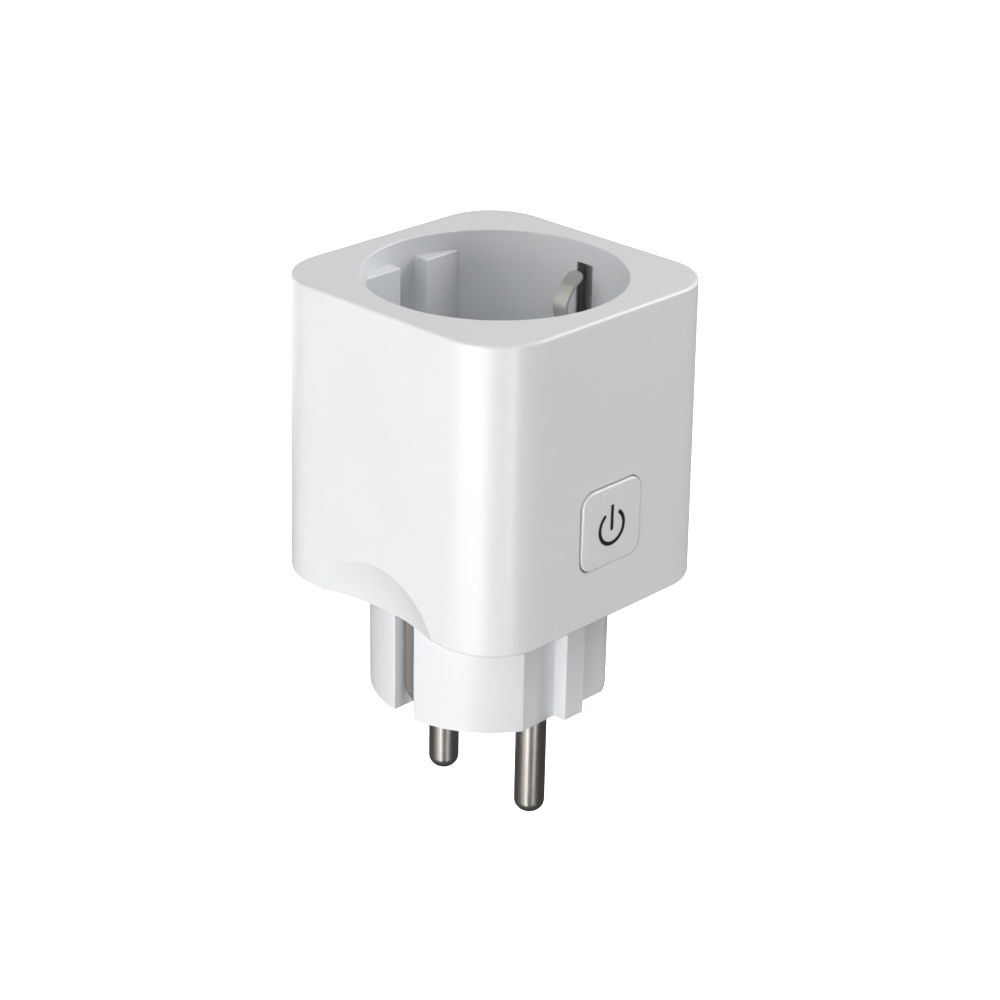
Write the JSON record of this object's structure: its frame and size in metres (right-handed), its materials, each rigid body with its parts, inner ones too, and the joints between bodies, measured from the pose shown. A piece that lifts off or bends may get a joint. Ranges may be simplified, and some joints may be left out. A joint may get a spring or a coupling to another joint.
{
  "type": "smart plug",
  "caption": "Square-bodied smart plug for a recessed European earthed outlet: round plug insert below, socket well on top, power button on one side.",
  "frame": {"origin": "centre of the plug insert's end face, the face that bottoms in the wall outlet", "axes": "+Z out of the wall towards the socket well; the pins point down -Z and stand on the Y axis; the earth contacts are on the X axis; the button looks along -Y"},
  "size_m": [0.0484, 0.0485, 0.0865],
  "materials": {
    "housing": "white, satin gloss",
    "button": "white, satin gloss",
    "symbol": "black ink",
    "pin": "nickel plate, drawn and polished",
    "earth_strip": "nickel plate, stamped",
    "contact_strip": "tin plate over brass",
    "carrier": "natural, fine spark texture",
    "shutter": "smooth acetal",
    "steel": "zinc plate",
    "board": "green solder mask",
    "radio_board": "black solder mask",
    "chip": "moulded epoxy",
    "relay": "black, satin",
    "switch_body": "black",
    "plunger": "black",
    "capacitor": "dark shrink sleeve",
    "inductor": "ferrite",
    "varistor": "blue epoxy dip",
    "resistor": "green lacquer",
    "header": "black",
    "lamp": "clear resin over a phosphor",
    "manganin": "bare resistance alloy"
  },
  "bodies": {
    "plug_body": {"outer_housing": "housing", "base_housing": "housing", "line_pin": "pin", "neutral_pin": "pin", "line_pin_strap": "contact_strip", "neutral_pin_strap": "contact_strip", "line_socket_contact": "contact_strip", "neutral_socket_contact": "contact_strip", "earth_strap_left": "earth_strip", "earth_strap_right": "earth_strip", "earth_bridge": "earth_strip", "contact_carrier": "carrier", "shutter_spring": "steel", "carrier_screw_1": "steel", "carrier_screw_2": "steel", "carrier_screw_3": "steel", "carrier_screw_4": "steel", "board_screw_1": "steel", "board_screw_2": "steel", "board_screw_3": "steel", "board_screw_4": "steel", "button_switch": "switch_body", "status_led": "lamp", "main_board": "board", "control_board": "board", "board_header": "header", "wireless_module": "radio_board", "wireless_shield": "steel", "relay": "relay", "filter_capacitor_1": "capacitor", "filter_capacitor_2": "capacitor", "output_capacitor": "capacitor", "inductor": "inductor", "varistor": "varistor", "fusible_resistor": "resistor", "bridge_rectifier": "chip", "converter_chip": "chip", "metering_chip": "chip", "shunt_resistor": "manganin"},
    "button": {"button_cap": "button", "power_symbol_ring": "symbol", "power_symbol_bar": "symbol"},
    "plunger": {"switch_plunger": "plunger"},
    "shutter": {"safety_shutter": "shutter"},
    "left_clip": {"earth_clip_left": "earth_strip"},
    "right_clip": {"earth_clip_right": "earth_strip"}
  },
  "joints": [
    {"name": "button_press", "type": "slide", "parent": "plug_body", "child": "button", "axis": [0, 1, 0], "range_m": [0, 0.0004], "stiffness_N_per_m": 600, "springref_m": -0.0025},
    {"name": "plunger_press", "type": "slide", "parent": "plug_body", "child": "plunger", "axis": [0, 1, 0], "range_m": [0, 0.0004]},
    {"name": "shutter_turn", "type": "hinge", "parent": "plug_body", "child": "shutter", "pos_m": [0, 0, 0.046], "axis": [0, 0, 1], "range_deg": [0, 42], "stiffness_Nm_per_rad": 0.004, "springref_deg": -28.65, "deforming": ["shutter_spring"]},
    {"name": "left_clip_flex", "type": "hinge", "parent": "plug_body", "child": "left_clip", "pos_m": [-0.0204, 0, 0.043], "axis": [0, -1, 0], "range_deg": [0, 8], "stiffness_Nm_per_rad": 1, "springref_deg": -2.86},
    {"name": "right_clip_flex", "type": "hinge", "parent": "plug_body", "child": "right_clip", "pos_m": [0.0204, 0, 0.043], "axis": [0, 1, 0], "range_deg": [0, 8], "stiffness_Nm_per_rad": 1, "springref_deg": -2.86}
  ],
  "couplings": [
    {"joint": "plunger_press", "follows": "button_press", "ratio": 1}
  ]
}
